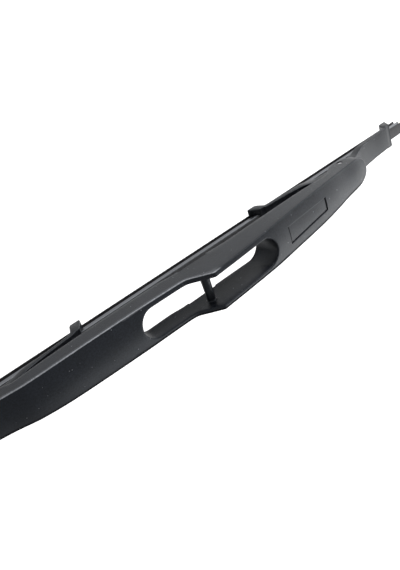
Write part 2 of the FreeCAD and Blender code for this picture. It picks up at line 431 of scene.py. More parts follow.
class Sheet:
    """Collects faces by the places of their corners and merges equal points."""

    def __init__(self):
        self.index = {}
        self.points = []
        self.faces = []

    def vertex(self, place):
        """The number of the point at a place, to a thousandth of a millimetre."""
        key = tuple(round(float(v) * 1e3) for v in place)
        if key not in self.index:
            self.index[key] = len(self.points)
            self.points.append(tuple(float(v) * MM for v in place))
        return self.index[key]

    def face(self, *corners):
        """A face, unless fewer than three of its corners differ."""
        ids = []
        for place in corners:
            i = self.vertex(place)
            if i not in ids:
                ids.append(i)
        if len(ids) > 2:
            self.faces.append(ids)

    def strip(self, a, b):
        """Faces between two rows of points of equal length."""
        for p, q, r, s in zip(a, a[1:], b[1:], b):
            self.face(p, q, r, s)

    def piece(self, name):
        """The collected faces as an object whose faces point outwards."""
        data = bpy.data.meshes.new(name)
        data.from_pydata(self.points, [], self.faces)
        face_outwards(data)
        return new_object(name, data)


def apply_modifiers(piece):
    """Replace the piece's mesh by its evaluated one."""
    graph = bpy.context.evaluated_depsgraph_get()
    graph.update()
    data = bpy.data.meshes.new_from_object(piece.evaluated_get(graph), depsgraph=graph)
    piece.modifiers.clear()
    piece.data = data


def combine(piece, tool, operation):
    """Join a solid to the piece or cut it away."""
    modifier = piece.modifiers.new("combine", "BOOLEAN")
    modifier.operation = operation
    modifier.solver = "EXACT"
    modifier.object = tool
    apply_modifiers(piece)
    bpy.data.objects.remove(tool)


def shade(piece):
    """Smooth shading, with sharp edges where faces meet at more than SHARP_ANGLE."""
    bm = bmesh.new()
    bm.from_mesh(piece.data)
    limit = math.radians(SHARP_ANGLE)
    for edge in bm.edges:
        edge.smooth = not (edge.is_manifold and edge.calc_face_angle(0.0) > limit)
    for face in bm.faces:
        face.smooth = True
    bm.to_mesh(piece.data)
    bm.free()


def mark_wear_and_highlight(piece, top, half, radius, limit, strength):
    """Mark the rounded upper edges that handling has polished and that carry a painted highlight,
    by their place on the arc.
    """
    layer = piece.data.attributes.new("wear_and_highlight", "FLOAT", "POINT")
    for i, corner in enumerate(piece.data.vertices):
        x, y, z = (v / MM for v in corner.co)
        r = radius(x, y)
        across, down = half(x) - abs(y), top(x) - z
        if across < WEAR_HIGHLIGHT_REACH * r and down < WEAR_HIGHLIGHT_REACH * r:
            turn = (limit - max(across, down) / r) / WEAR_HIGHLIGHT_TURN
            layer.data[i].value = min(max(turn, 0.0), 1.0) * strength(x, y)


def bridge_wear_and_highlight(x, y):
    """Polish and painted highlight along the bridge's near edge: strongest on the hump, none past
    the peak.
    """
    if y < 0:
        return 0.0
    along = WEAR_HIGHLIGHT_LEFT + (1.0 - WEAR_HIGHLIGHT_LEFT) * ramp(x - WEAR_HIGHLIGHT_HUMP, WEAR_HIGHLIGHT_FADE)
    return along * ramp(x - WEAR_HIGHLIGHT_START, WEAR_HIGHLIGHT_START_FADE) * ramp(WEAR_HIGHLIGHT_END - x, WEAR_HIGHLIGHT_FADE)


def mark_dull_and_shade_edge(piece):
    """Mark the outermost strip of the spine on the far side, which is rougher and darkened by
    painted shade.
    """
    layer = piece.data.attributes.new("dull_and_shade", "FLOAT", "POINT")
    for i, corner in enumerate(piece.data.vertices):
        x, y, z = (v / MM for v in corner.co)
        across, down = half_width(x) - abs(y), edge_height(x) - z
        if y < 0:
            layer.data[i].value = (
                ramp(DULL_AND_SHADE_EDGE - across, DULL_AND_SHADE_FADE) * ramp(DULL_AND_SHADE_DOWN - down, DULL_AND_SHADE_FADE))


def nose_point(end_sign, turn):
    """A point of the rounded nose and its outward direction, turn 0 at the tip."""
    centre = BLADE_MIDDLE + end_sign * (BRIDGE_HALF - NOSE_LENGTH)
    c, s = math.cos(turn), math.sin(turn)
    power = 2.0 / NOSE_POWER
    x = centre + end_sign * NOSE_LENGTH * c ** power
    width = half_width(x)
    gx, gy = c ** (2.0 - power) / NOSE_LENGTH, s ** (2.0 - power) / width
    length = math.hypot(gx, gy)
    return x, width * s ** power, end_sign * gx / length, gy / length


def section(x, width, nx, ny, line_x):
    """Cross section of the bridge: spine, near wall, underside and far wall."""
    near = wall_chain((x, width), (nx, ny), edge_radius(x, 1.0))
    far = wall_chain((x, -width), (nx, -ny), edge_radius(x, -1.0))
    shares = [0.5 + 0.5 * v for v in line_shares(line_x)]
    top = []
    for share in shares:
        px, py, _ = between(far[0], near[0], share)
        top.append((px, py, spine_height(px, py)))
    top[0], top[-1] = far[0], near[0]
    under = [between(near[-1], far[-1], 1.0 - share) for share in reversed(shares)]
    return top, near, under, far


def end_sections(ring_x, end_sign):
    """Sections from the ring of the slot out to the tip of one nose."""
    nose = BLADE_MIDDLE + end_sign * (BRIDGE_HALF - NOSE_LENGTH)
    places = list(np.linspace(ring_x, nose, END_SECTIONS))
    if end_sign > 0:
        for edge, inward in ((PANEL_LEFT, 1.0), (PANEL_RIGHT, -1.0)):
            places = [x for x in places if abs(x - edge) > PANEL_ROOM]
            places += [edge + inward * c for c in PANEL_BORDER]
    places.sort(key=lambda x: x * end_sign)
    sections = [section(x, half_width(x), 0.0, 1.0, x) for x in places]
    for k in range(1, NOSE_STEPS + 1):
        x, width, nx, ny = nose_point(end_sign, math.pi / 2 * (1 - k / NOSE_STEPS))
        sections.append(section(x, max(width, 0.0), nx, ny, nose))
    return sections


def long_edge(x, side):
    """Place, outward direction and rounding of the bridge's long edge."""
    return (x, side * half_width(x)), (0.0, side), edge_radius(x, side)


def round_end(centre, turn):
    """A point of the slot's round end and its direction."""
    direction = (math.cos(turn), math.sin(turn))
    return (centre + SLOT_HALF * direction[0], SLOT_HALF * direction[1]), direction


def spoke(slot_point, direction, edge=None, seam=None):
    """A row of points from the slot's wall across the spine and back underneath."""
    away = (-direction[0], -direction[1])
    inner = wall_chain(slot_point, away, RIM_ROUNDING)
    outer = wall_chain(*edge) if edge else None
    top_end, under_end = seam if seam else (outer[0], outer[-1])
    top, under = [], []
    for k in range(SPOKE_STEPS + 1):
        x, y, z = between(inner[0], top_end, k / SPOKE_STEPS)
        top.append((x, y, z if k in (0, SPOKE_STEPS) else spine_height(x, y)))
        x, y, z = between(inner[-1], under_end, k / SPOKE_STEPS)
        under.append((x, y, z if k in (0, SPOKE_STEPS) else bottom_height(x, y)))
    return inner, top, outer, under


def edge_spoke(x, side, centre=None):
    """A spoke to the bridge's long edge, straight across or from the slot's round end."""
    if centre is None:
        point, direction = (x, side * SLOT_HALF), (0.0, side)
    else:
        point, direction = round_end(centre, math.atan2(side * half_width(x), x - centre))
    return spoke(point, direction, long_edge(x, side))


def end_spokes(first_section, centre):
    """Spokes round one end of the slot, from the near side to the far side."""
    top, near, under, _ = first_section
    seam_x = near[0][0]
    steps = [float(x) for x in np.linspace(centre, seam_x, END_SPOKES)[1:-1]]
    spokes = [edge_spoke(x, 1.0, centre) for x in steps]
    last = len(top) - 1
    for j in range(last, -1, -1):
        point, direction = round_end(centre, math.atan2(top[j][1], seam_x - centre))
        edge = long_edge(seam_x, 1.0 if j == last else -1.0) if j in (0, last) else None
        spokes.append(spoke(point, direction, edge, (top[j], under[last - j])))
    spokes += [edge_spoke(x, -1.0, centre) for x in reversed(steps)]
    return spokes


def lane_places():
    """Columns along the slot's straight sides."""
    places = [SLOT_LEFT]
    for start, end, count in LANES:
        places += [float(x) for x in np.linspace(start, end, count)[1:]]
    return places


def cover_shell():
    """The bridge's whole outer form round the slot, as one closed mesh."""
    sheet = Sheet()
    left = end_sections(RING_LEFT, -1.0)
    right = end_sections(RING_RIGHT, 1.0)
    for sections in (left, right):
        for a, b in zip(sections, sections[1:]):
            for row_a, row_b in zip(a, b):
                sheet.strip(row_a, row_b)
    lanes = lane_places()
    spokes = [edge_spoke(x, 1.0) for x in reversed(lanes)]
    spokes += end_spokes(left[0], SLOT_LEFT)
    spokes += [edge_spoke(x, -1.0) for x in lanes]
    spokes += reversed(end_spokes(right[0], SLOT_RIGHT))
    for a, b in zip(spokes, spokes[1:] + spokes[:1]):
        for row_a, row_b in zip(a, b):
            if row_a and row_b:
                sheet.strip(row_a, row_b)
    return sheet.piece("bridge_cover")


def solid_between(name, upper, lower):
    """A closed solid between two grids of points of the same size."""
    sheet = Sheet()
    for grid in (upper, lower):
        for a, b in zip(grid, grid[1:]):
            sheet.strip(a, b)
    sheet.strip(upper[0], lower[0])
    sheet.strip(upper[-1], lower[-1])
    sheet.strip([row[0] for row in upper], [row[0] for row in lower])
    sheet.strip([row[-1] for row in upper], [row[-1] for row in lower])
    return sheet.piece(name)


def solid_through(name, rings):
    """A closed solid through closed rings of points, with flat ends."""
    sheet = Sheet()
    for a, b in zip(rings, rings[1:]):
        sheet.strip(a, b)
    for ring in (rings[0], rings[-1]):
        sheet.face(*ring[:-1])
    return sheet.piece(name)


def block(low, high):
    """A plain cutting block."""
    upper = [[(x, y, high[2]) for x in (low[0], high[0])] for y in (low[1], high[1])]
    lower = [[(x, y, low[2]) for x, y, _ in row] for row in upper]
    return solid_between("block", upper, lower)


def turned(name, axis_x, axis_z, profile, faces=TURNED_FACES):
    """A closed turned form across the blade from (y, radius) pairs."""
    rings = []
    for y, radius in profile:
        ring = []
        for k in range(faces + 1):
            a = 2.0 * math.pi * (k % faces) / faces
            ring.append((axis_x + radius * math.cos(a), y, axis_z + radius * math.sin(a)))
        rings.append(ring)
    return solid_through(name, rings)


def hole(x, radius):
    """A cutting cylinder across the blade at the pivot's height."""
    return turned("hole", x, PIVOT_Z, [(-CUT_SIDE, radius), (CUT_SIDE, radius)])


def hollow(end_sign):
    """The hollow under one end of the spine, as a cutting solid."""
    start = BLADE_MIDDLE + end_sign * (BRIDGE_HALF + HOLLOW_OVER)
    centre = SLOT_RIGHT if end_sign > 0 else SLOT_LEFT
    reach = SLOT_HALF + SLOT_WALL
    upper, lower = [], []
    for share in np.linspace(-1.0, 1.0, HOLLOW_ROWS):
        end_y = share * (half_width(centre) - WALL)
        end_x = centre + end_sign * math.sqrt(reach ** 2 - end_y ** 2)
        row = []
        for step in np.linspace(0.0, 1.0, HOLLOW_STEPS):
            x = start + (end_x - start) * step
            y = share * (half_width(x) - WALL)
            row.append((x, y, crown_height(x, y) - ROOF))
        upper.append(row)
        lower.append([(x, y, CUT_LOW) for x, y, _ in row])
    return solid_between("hollow", upper, lower)


def cross_pin():
    """The moulded pin in the slot, with a small fillet at each root."""
    half = []
    for k in range(PIN_ROOT_STEPS + 1):
        rise = 1.0 - math.sqrt(max(0.0, 1.0 - (k / PIN_ROOT_STEPS) ** 2))
        y = SLOT_HALF - PIN_ROOT + PIN_ROOT * k / PIN_ROOT_STEPS
        half.append((y, CROSS_PIN + PIN_ROOT * rise))
    half.append((SLOT_HALF + PIN_SUNK, CROSS_PIN + PIN_ROOT))
    middle = [(y, CROSS_PIN) for y in np.linspace(-PIN_PLAIN, PIN_PLAIN, 5)]
    profile = [(-y, r) for y, r in reversed(half)] + middle + half
    drafted = [(y, r + PIN_DRAFT * (y + SLOT_HALF)) for y, r in profile]
    return turned("cross_pin", 0.0, 0.0, drafted, PIN_FACES)


def make_bridge():
    """The moulded bridge with its slot, pin, hollow ends, notches and pivot holes."""
    cover = cover_shell()
    combine(cover, hollow(-1.0), "DIFFERENCE")
    combine(cover, hollow(1.0), "DIFFERENCE")
    notch = block((BLADE_MIDDLE - NOTCH_HALF, -CUT_SIDE, CUT_LOW),
                  (BLADE_MIDDLE + NOTCH_HALF, CUT_SIDE, SKIRT_MID + NOTCH_DEPTH))
    combine(cover, notch, "DIFFERENCE")
    for side in (-1.0, 1.0):
        pivot = BLADE_MIDDLE + side * (PIVOT_X - BLADE_MIDDLE)
        combine(cover, hole(pivot, PIVOT_RADIUS), "DIFFERENCE")
    combine(cover, cross_pin(), "UNION")
    # Polish with a painted highlight on the near edge, and painted shade on the far edge's dull
    # strip
    mark_wear_and_highlight(cover, edge_height, half_width, edge_radius, WEAR_HIGHLIGHT_LIMIT_BRIDGE, bridge_wear_and_highlight)
    mark_dull_and_shade_edge(cover)
    shade(cover)
    return cover


def yoke_curves(arm_drop, arm_thinning):
    """Upper and lower edge and half width at a distance from the pivot."""
    top, low = yoke_high[2], yoke_low[2]
    claw = YOKE_REACH - CLAW_LENGTH
    tops = ARM_TOP + [(claw + d, depth, share) for d, depth, share in CLAW_TOP]
    tops.append((YOKE_REACH, *CLAW_END_TOP))
    edge = smooth_curve([(d, top - depth - share * arm_drop) for d, depth, share in tops])
    feet = ARM_FOOT + [(claw + d, height, share) for d, height, share in CLAW_FOOT]
    feet.append((YOKE_REACH, *CLAW_END_FOOT))
    lower = smooth_curve([(d, low + height + share * arm_thinning) for d, height, share in feet])
    width = smooth_curve([
        (0.0, WAIST_HALF), (WAIST_END, WAIST_HALF), (ARM_START, ARM_HALF),
        (claw - ARM_END, ARM_HALF), (claw - CLAW_START, CLAW_HALF), (YOKE_REACH, CLAW_HALF),
    ])

    def upper(s):
        slant = low + CLAW_TIP + (YOKE_REACH - s) * CLAW_RISE / CLAW_SLANT
        return min(edge(s), slant)
    return upper, lower, width


def rounded_box(x, low_z, high_z, half, inset):
    """A closed section with round corners, turning from the near top."""
    points = []
    low_z, high_z, half = low_z + inset, high_z - inset, half - inset
    radius = max(min(YOKE_ROUNDING - inset, 0.45 * (high_z - low_z)), 0.05)
    corners = [(half, high_z, 0), (-half, high_z, 1), (-half, low_z, 2), (half, low_z, 3)]
    for y, z, quarter in corners:
        cy = y - math.copysign(radius, y)
        cz = z + (radius if quarter > 1 else -radius)
        for k in range(CORNER_STEPS + 1):
            a = math.pi / 2 * (quarter + k / CORNER_STEPS)
            points.append((x, cy + radius * math.cos(a), cz + radius * math.sin(a)))
    return points + points[:1]


def yoke_form(name, upper, lower, width):
    """The lever's outer form, with its rings closer together towards the claws."""
    lead = YOKE_REACH - CLAW_LENGTH - CLAW_LEAD
    slant = YOKE_REACH - CLAW_SLANT
    places = list(np.linspace(0.0, lead, ARM_RINGS))
    places += list(np.linspace(lead, slant, CLAW_RINGS))[1:]
    places += list(np.linspace(slant, YOKE_REACH - TIP_START, SLANT_RINGS))[1:]
    rows = [(d, 0.0) for d in places] + [(YOKE_REACH - d, inset) for d, inset in TIP_ROUNDING]
    rows = [(-d, inset) for d, inset in reversed(rows[1:])] + rows
    rings = []
    for d, inset in rows:
        s = abs(d)
        rings.append(rounded_box(PIVOT_X + d, lower(s), upper(s), width(s), inset))
    return solid_through(name, rings)


def yoke_channel(upper):
    """The channel along the lever's underside, in which the strip lies, as a cutting solid."""
    roof_z = rubber_high[2] + LIFT_GAP
    floor_z = rubber_high[2] - CHANNEL_DEPTH
    open_from = YOKE_REACH - CLAW_LENGTH - 1.0
    upper_rows, lower_rows = [], []
    for y in (-CHANNEL_HALF, CHANNEL_HALF):
        row = []
        for d in np.linspace(-YOKE_REACH - 1.0, YOKE_REACH + 1.0, CHANNEL_STEPS):
            s = abs(d)
            z = roof_z if s > open_from else max(roof_z, upper(s) - WEB)
            row.append((PIVOT_X + d, y, z))
        upper_rows.append(row)
        lower_rows.append([(x, y, floor_z) for x, _, _ in row])
    return solid_between("channel", upper_rows, lower_rows)


def make_right_yoke(name, arm_drop, arm_thinning):
    """A lever with a pivot hole, two arms and a slanted claw at each end."""
    upper, lower, width = yoke_curves(arm_drop, arm_thinning)
    yoke = yoke_form(name, upper, lower, width)
    combine(yoke, yoke_channel(upper), "DIFFERENCE")
    slot_top = rubber_high[2] - CHANNEL_DEPTH + LIP_SLOT_RISE
    lip_slot = block((yoke_low[0] - 1.0, -LIP_SLOT_HALF, CUT_LOW),
                     (yoke_high[0] + 1.0, LIP_SLOT_HALF, slot_top))
    combine(yoke, lip_slot, "DIFFERENCE")
    combine(yoke, hole(PIVOT_X, PIVOT_RADIUS + PIVOT_GAP), "DIFFERENCE")
    # Polish with a painted highlight along the lever's upper edges
    mark_wear_and_highlight(
        yoke, lambda x: upper(abs(x - PIVOT_X)), lambda x: width(abs(x - PIVOT_X)),
        lambda x, y: YOKE_ROUNDING, WEAR_HIGHLIGHT_LIMIT_YOKE, lambda x, y: WEAR_HIGHLIGHT_YOKE,
    )
    return yoke


def mirror(piece):
    """Mirror a piece about the middle of the blade."""
    middle = Matrix.Translation((BLADE_MIDDLE * MM, 0, 0))
    piece.data.transform(middle @ Matrix.Diagonal((-1, 1, 1, 1)) @ middle.inverted())
    piece.data.flip_normals()


def link(tree, a, out, b, into):
    """Join one node's output to another's input."""
    tree.links.new(a.outputs[out], b.inputs[into])


def geometry_tree(name, inputs):
    """A geometry tree with one form in, one form out and the named inputs between them."""
    tree = bpy.data.node_groups.new(name, "GeometryNodeTree")
    sockets = [("Geometry", "INPUT", "Geometry")]
    sockets += [(label, "INPUT", kind) for label, kind in inputs]
    for label, way, kind in sockets + [("Geometry", "OUTPUT", "Geometry")]:
        tree.interface.new_socket(label, in_out=way, socket_type="NodeSocket" + kind)
    return tree, tree.nodes.new


def sweep_tree():
    """Nodes that carry a closed profile along the blade in even steps."""
    tree, node = geometry_tree("profile along the blade", [
        ("Start", "Float"), ("End", "Float"), ("Spacing", "Float"), ("Material", "Material")])
    given, made = node("NodeGroupInput"), node("NodeGroupOutput")
    start, end = node("ShaderNodeCombineXYZ"), node("ShaderNodeCombineXYZ")
    path, cut = node("GeometryNodeCurvePrimitiveLine"), node("GeometryNodeResampleCurve")
    profile, sweep = node("GeometryNodeMeshToCurve"), node("GeometryNodeCurveToMesh")
    flat, real = node("GeometryNodeSetCurveNormal"), node("GeometryNodeRealizeInstances")
    paint = node("GeometryNodeSetMaterial")
    cut.mode = "LENGTH"
    flat.mode = "Z_UP"
    sweep.inputs["Fill Caps"].default_value = True
    link(tree, given, "Start", start, "X")
    link(tree, given, "End", end, "X")
    link(tree, start, 0, path, "Start")
    link(tree, end, 0, path, "End")
    link(tree, path, 0, cut, "Curve")
    link(tree, given, "Spacing", cut, "Length")
    link(tree, cut, 0, flat, 0)
    link(tree, given, "Geometry", profile, "Mesh")
    link(tree, flat, 0, sweep, "Curve")
    link(tree, profile, 0, sweep, "Profile Curve")
    link(tree, sweep, 0, real, 0)
    link(tree, real, 0, paint, "Geometry")
    link(tree, given, "Material", paint, "Material")
    link(tree, paint, 0, made, 0)
    return tree


def pair_tree():
    """Nodes that set the same piece at both pivots of the bridge."""
    tree, node = geometry_tree("piece at both pivots", [
        ("First", "Vector"), ("Step", "Vector"), ("Material", "Material")])
    given, made = node("NodeGroupInput"), node("NodeGroupOutput")
    row, instance = node("GeometryNodeMeshLine"), node("GeometryNodeInstanceOnPoints")
    real, paint = node("GeometryNodeRealizeInstances"), node("GeometryNodeSetMaterial")
    row.mode = "OFFSET"
    row.inputs["Count"].default_value = 2
    link(tree, given, "First", row, "Start Location")
    link(tree, given, "Step", row, "Offset")
    link(tree, row, 0, instance, "Points")
    link(tree, given, "Geometry", instance, "Instance")
    link(tree, instance, 0, real, 0)
    link(tree, real, 0, paint, "Geometry")
    link(tree, given, "Material", paint, "Material")
    link(tree, paint, 0, made, 0)
    return tree


def run_tree(piece, tree, values):
    """Run a node tree on the piece with the named values and keep a plain mesh."""
    modifier = piece.modifiers.new("nodes", "NODES")
    modifier.node_group = tree
    for item in tree.interface.items_tree:
        if item.item_type == "SOCKET" and item.in_out == "INPUT" and item.name in values:
            modifier[item.identifier] = values[item.name]
    apply_modifiers(piece)


def strip_piece(name, profile, start, end, finish, tree):
    """A piece of one cross section along X, from (y, z) corners."""
    data = bpy.data.meshes.new(name)
    points = [(-y * MM, -z * MM, 0.0) for y, z in profile]
    edges = [(i, (i + 1) % len(points)) for i in range(len(points))]
    data.from_pydata(points, edges, [])
    piece = new_object(name, data)
    run_tree(piece, tree, {
        "Start": start * MM, "End": end * MM, "Spacing": STRIP_STEP * MM, "Material": finish})
    face_outwards(piece.data, MERGE_DISTANCE)
    shade(piece)
    return piece


def rubber_profile():
    """Half of the rubber's section by its mirrored corners: head, neck, shoulders, lip."""
    top, low = rubber_high[2], rubber_low[2]
    groove = rail_high[2] + RAIL_TALLER
    groove_low = rail_low[2] - RAIL_TALLER
    head = rubber_high[1]
    half = [(0.0, top)] + [(head - d, top - depth) for d, depth in HEAD_TOP]
    half += [(head, groove), (rail_low[1], groove), (rail_low[1], groove_low), (head, groove_low)]
    half += [(head - d, top - depth) for d, depth in HEAD_FOOT]
    half += [(RUBBER_NECK + d, top - depth) for d, depth in NECK]
    half += [(head - d, top - depth) for d, depth in SHOULDER]
    half += [(y, top - depth) for y, depth in LIP] + [(y, low + height) for y, height in LIP_END]
    return half + [(-y, z) for y, z in reversed(half[1:])]


def rail_profile(side):
    """Section of a flat steel strip with slightly broken edges."""
    y0, y1 = rail_low[1], rail_high[1]
    z0, z1 = rail_low[2] - RAIL_TALLER, rail_high[2] + RAIL_TALLER
    c = RAIL_CHAMFER
    points = [(y0, z0), (y1 - c, z0), (y1, z0 + c), (y1, z1 - c), (y1 - c, z1), (y0, z1)]
    return [(side * y, z) for y, z in points]


# Finishes: gloss of the plastic and the rubber, what the plastic's edges are worn to with a
# painted highlight, and the painted shade of the dull strip
SPECULAR = 0.175
SPECULAR_TINT = (0.87, 0.93, 1.0, 1.0)
RUBBER_SPECULAR = 0.25
BRIDGE_COLOUR = (0.0078, 0.0092, 0.0125)
YOKE_COLOUR = (0.007, 0.008, 0.0105)
# Pale colour of the flecks and of the worn edges, where it also paints a highlight
PALE_WEAR_AND_HIGHLIGHT_COLOUR = (0.52, 0.54, 0.58)
WORN_ROUGHNESS = 0.32
# Painted shade: share of the plastic's colour left on the dull far strip
PAINTED_SHADE_TONE = 0.1
ROUGHNESS_SPREAD = 0.08
# Noise values between which the grain acts
GRAIN_RANGE = (0.3, 0.7)


def material(name):
    """An empty material with its output node."""
    made = bpy.data.materials.new(name)
    made.use_nodes = True
    made.node_tree.nodes.clear()
    out = made.node_tree.nodes.new("ShaderNodeOutputMaterial")
    return made, made.node_tree, out


def map_range(tree, source, out, span, result):
    """A node that maps the span of a source's output to the result's two values."""
    mapped = tree.nodes.new("ShaderNodeMapRange")
    for name, value in zip(("From Min", "From Max", "To Min", "To Max"), (*span, *result)):
        mapped.inputs[name].default_value = value
    link(tree, source, out, mapped, "Value")
    return mapped


def tones(tree, source, out, low, high, span=(0.0, 1.0)):
    """A ramp between two colours over the span of a source's output."""
    shades = tree.nodes.new("ShaderNodeValToRGB")
    for stop, place, colour in zip(shades.color_ramp.elements, span, (low, high)):
        stop.position = place
        stop.color = [*colour, 1.0]
    link(tree, source, out, shades, "Fac")
    return shades


def mix(tree, kind, share, first, second):
    """Mix a node's output with a fixed value, by the share that another output gives."""
    mixed = tree.nodes.new("ShaderNodeMix")
    mixed.data_type = kind
    link(tree, *share, mixed, "Factor")
    link(tree, *first, mixed, "A")
    mixed.inputs["B"].default_value = second
    return mixed


def fine_lines(tree, place, scale, detail):
    """Noise stretched into fine lines along the blade."""
    stretch, lines = tree.nodes.new("ShaderNodeMapping"), tree.nodes.new("ShaderNodeTexNoise")
    stretch.inputs["Scale"].default_value = scale
    link(tree, place, "Object", stretch, "Vector")
    link(tree, stretch, 0, lines, "Vector")
    lines.inputs["Scale"].default_value = 1.0
    lines.inputs["Detail"].default_value = detail
    return lines


def moulded_finish(name, colour, pale_wear_and_highlight, roughness, grain_depth):
    """Matt moulded plastic: fine grain, pale flecks, edges polished by handling with a painted
    highlight, and a strip darkened by painted shade.
    """
    made, tree, out = material(name)
    node = tree.nodes.new
    surface = node("ShaderNodeBsdfPrincipled")
    place = node("ShaderNodeTexCoord")
    grain, fine = node("ShaderNodeTexNoise"), node("ShaderNodeTexNoise")
    tone, specks = node("ShaderNodeTexNoise"), node("ShaderNodeTexVoronoi")
    for texture, scale, detail in ((grain, 1500.0, 4.0), (fine, 4200.0, 2.0), (tone, 110.0, 4.0)):
        texture.inputs["Scale"].default_value = scale
        texture.inputs["Detail"].default_value = detail
        link(tree, place, "Object", texture, "Vector")
    specks.inputs["Scale"].default_value = 280.0
    link(tree, place, "Object", specks, "Vector")

    # Uneven tone of the plastic
    part_tone, part_grain, both = (node("ShaderNodeMath") for _ in range(3))
    for part, source, weight in ((part_tone, tone, 0.35), (part_grain, grain, 0.65)):
        part.operation = "MULTIPLY"
        part.inputs[1].default_value = weight
        link(tree, source, "Fac", part, 0)
    both.operation = "ADD"
    link(tree, part_tone, 0, both, 0)
    link(tree, part_grain, 0, both, 1)
    dark, pale = [c * 0.3 for c in colour], [c * 1.7 for c in colour]
    shades = tones(tree, both, 0, dark, pale, GRAIN_RANGE)

    # Pale flecks
    dots = map_range(tree, specks, "Distance", (0.085, 0.03), (0.0, 0.3))
    flecked = mix(tree, "RGBA", (dots, 0), (shades, "Color"), (*pale_wear_and_highlight, 1.0))

    # Polished edges with a painted highlight, broken up by the grain
    wear_and_highlight, amount = node("ShaderNodeAttribute"), node("ShaderNodeMath")
    wear_and_highlight.attribute_name = "wear_and_highlight"
    patchy = map_range(tree, grain, "Fac", GRAIN_RANGE, (0.6, 1.25))
    amount.operation = "MULTIPLY"
    amount.use_clamp = True
    link(tree, wear_and_highlight, "Fac", amount, 0)
    link(tree, patchy, 0, amount, 1)
    polished_and_highlighted = mix(tree, "RGBA", (amount, 0), (flecked, "Result"), (*pale_wear_and_highlight, 1.0))

    # Painted shade: the dull strip is darker
    dull_and_shade = node("ShaderNodeAttribute")
    dull_and_shade.attribute_name = "dull_and_shade"
    painted_shade_colour = [c * PAINTED_SHADE_TONE for c in colour] + [1.0]
    painted_darker = mix(tree, "RGBA", (dull_and_shade, "Fac"), (polished_and_highlighted, "Result"), painted_shade_colour)
    link(tree, painted_darker, "Result", surface, "Base Color")

    # Roughness follows the grain, drops where the edge is polished and rises on the dull strip
    around = (roughness - ROUGHNESS_SPREAD, roughness + ROUGHNESS_SPREAD)
    rough = map_range(tree, grain, "Fac", GRAIN_RANGE, around)
    smooth = mix(tree, "FLOAT", (amount, 0), (rough, 0), WORN_ROUGHNESS)
    duller = mix(tree, "FLOAT", (dull_and_shade, "Fac"), (smooth, 0), 1.0)
    link(tree, duller, 0, surface, "Roughness")

    coarse_bump, fine_bump = node("ShaderNodeBump"), node("ShaderNodeBump")
    fine_depth = grain_depth * 0.4
    for bump, source, depth in ((coarse_bump, grain, grain_depth), (fine_bump, fine, fine_depth)):
        bump.inputs["Distance"].default_value = depth * MM
        bump.inputs["Strength"].default_value = 1.0
        link(tree, source, "Fac", bump, "Height")
    link(tree, coarse_bump, "Normal", fine_bump, "Normal")
    link(tree, fine_bump, "Normal", surface, "Normal")
    surface.inputs["Specular IOR Level"].default_value = SPECULAR
    surface.inputs["Specular Tint"].default_value = SPECULAR_TINT
    link(tree, surface, 0, out, "Surface")
    return made


def rubber_finish():
    """Dull black rubber with fine lines along its length and a dusty bloom."""
    made, tree, out = material("wiper rubber")
    node = tree.nodes.new
    surface = node("ShaderNodeBsdfPrincipled")
    place, bloom = node("ShaderNodeTexCoord"), node("ShaderNodeTexNoise")
    lines = fine_lines(tree, place, (30.0, 2500.0, 2500.0), 2.0)
    link(tree, place, "Object", bloom, "Vector")
    bloom.inputs["Scale"].default_value = 300.0
    bloom.inputs["Detail"].default_value = 4.0
    shades = tones(
        tree, bloom, "Fac", (0.02, 0.02, 0.022), (0.045, 0.045, 0.048), (0.3, 0.75))
    link(tree, shades, "Color", surface, "Base Color")
    rough = map_range(tree, bloom, "Fac", (0.0, 1.0), (0.42, 0.62))
    link(tree, rough, 0, surface, "Roughness")
    bump = node("ShaderNodeBump")
    bump.inputs["Distance"].default_value = 0.02 * MM
    link(tree, lines, "Fac", bump, "Height")
    link(tree, bump, "Normal", surface, "Normal")
    surface.inputs["Specular IOR Level"].default_value = RUBBER_SPECULAR
    link(tree, surface, 0, out, "Surface")
    return made


def steel_finish(name, colour, roughness):
    """Drawn steel with fine lines along the strip."""
    made, tree, out = material(name)
    node = tree.nodes.new
    surface = node("ShaderNodeBsdfPrincipled")
    place = node("ShaderNodeTexCoord")
    lines = fine_lines(tree, place, (60.0, 5000.0, 5000.0), 3.0)
    dark, pale = [c * 0.75 for c in colour], [c * 1.2 for c in colour]
    shades = tones(tree, lines, "Fac", dark, pale)
    link(tree, shades, "Color", surface, "Base Color")
    around = (roughness - ROUGHNESS_SPREAD, roughness + ROUGHNESS_SPREAD)
    rough = map_range(tree, lines, "Fac", (0.0, 1.0), around)
    link(tree, rough, 0, surface, "Roughness")
    surface.inputs["Metallic"].default_value = 1.0
    bump = node("ShaderNodeBump")
    bump.inputs["Distance"].default_value = 0.01 * MM
    link(tree, lines, "Fac", bump, "Height")
    link(tree, bump, "Normal", surface, "Normal")
    link(tree, surface, 0, out, "Surface")
    return made


plastic = moulded_finish("bridge plastic", BRIDGE_COLOUR, PALE_WEAR_AND_HIGHLIGHT_COLOUR, 0.37, 0.05)
yoke_plastic = moulded_finish("yoke plastic", YOKE_COLOUR, PALE_WEAR_AND_HIGHLIGHT_COLOUR, 0.36, 0.03)
rubber = rubber_finish()
rail_steel = steel_finish("rail steel", (0.105, 0.11, 0.12), 0.36)
pin_steel = steel_finish("pin steel", (0.42, 0.42, 0.43), 0.32)

# Pieces
bridge = make_bridge()
bridge.data.materials.append(plastic)

yoke_right = make_right_yoke("yoke_lever_right", *RIGHT_ARMS)
yoke_left = make_right_yoke("yoke_lever_left", *LEFT_ARMS)
mirror(yoke_left)
for yoke in (yoke_right, yoke_left):
    shade(yoke)
    yoke.data.materials.clear()
    yoke.data.materials.append(yoke_plastic)

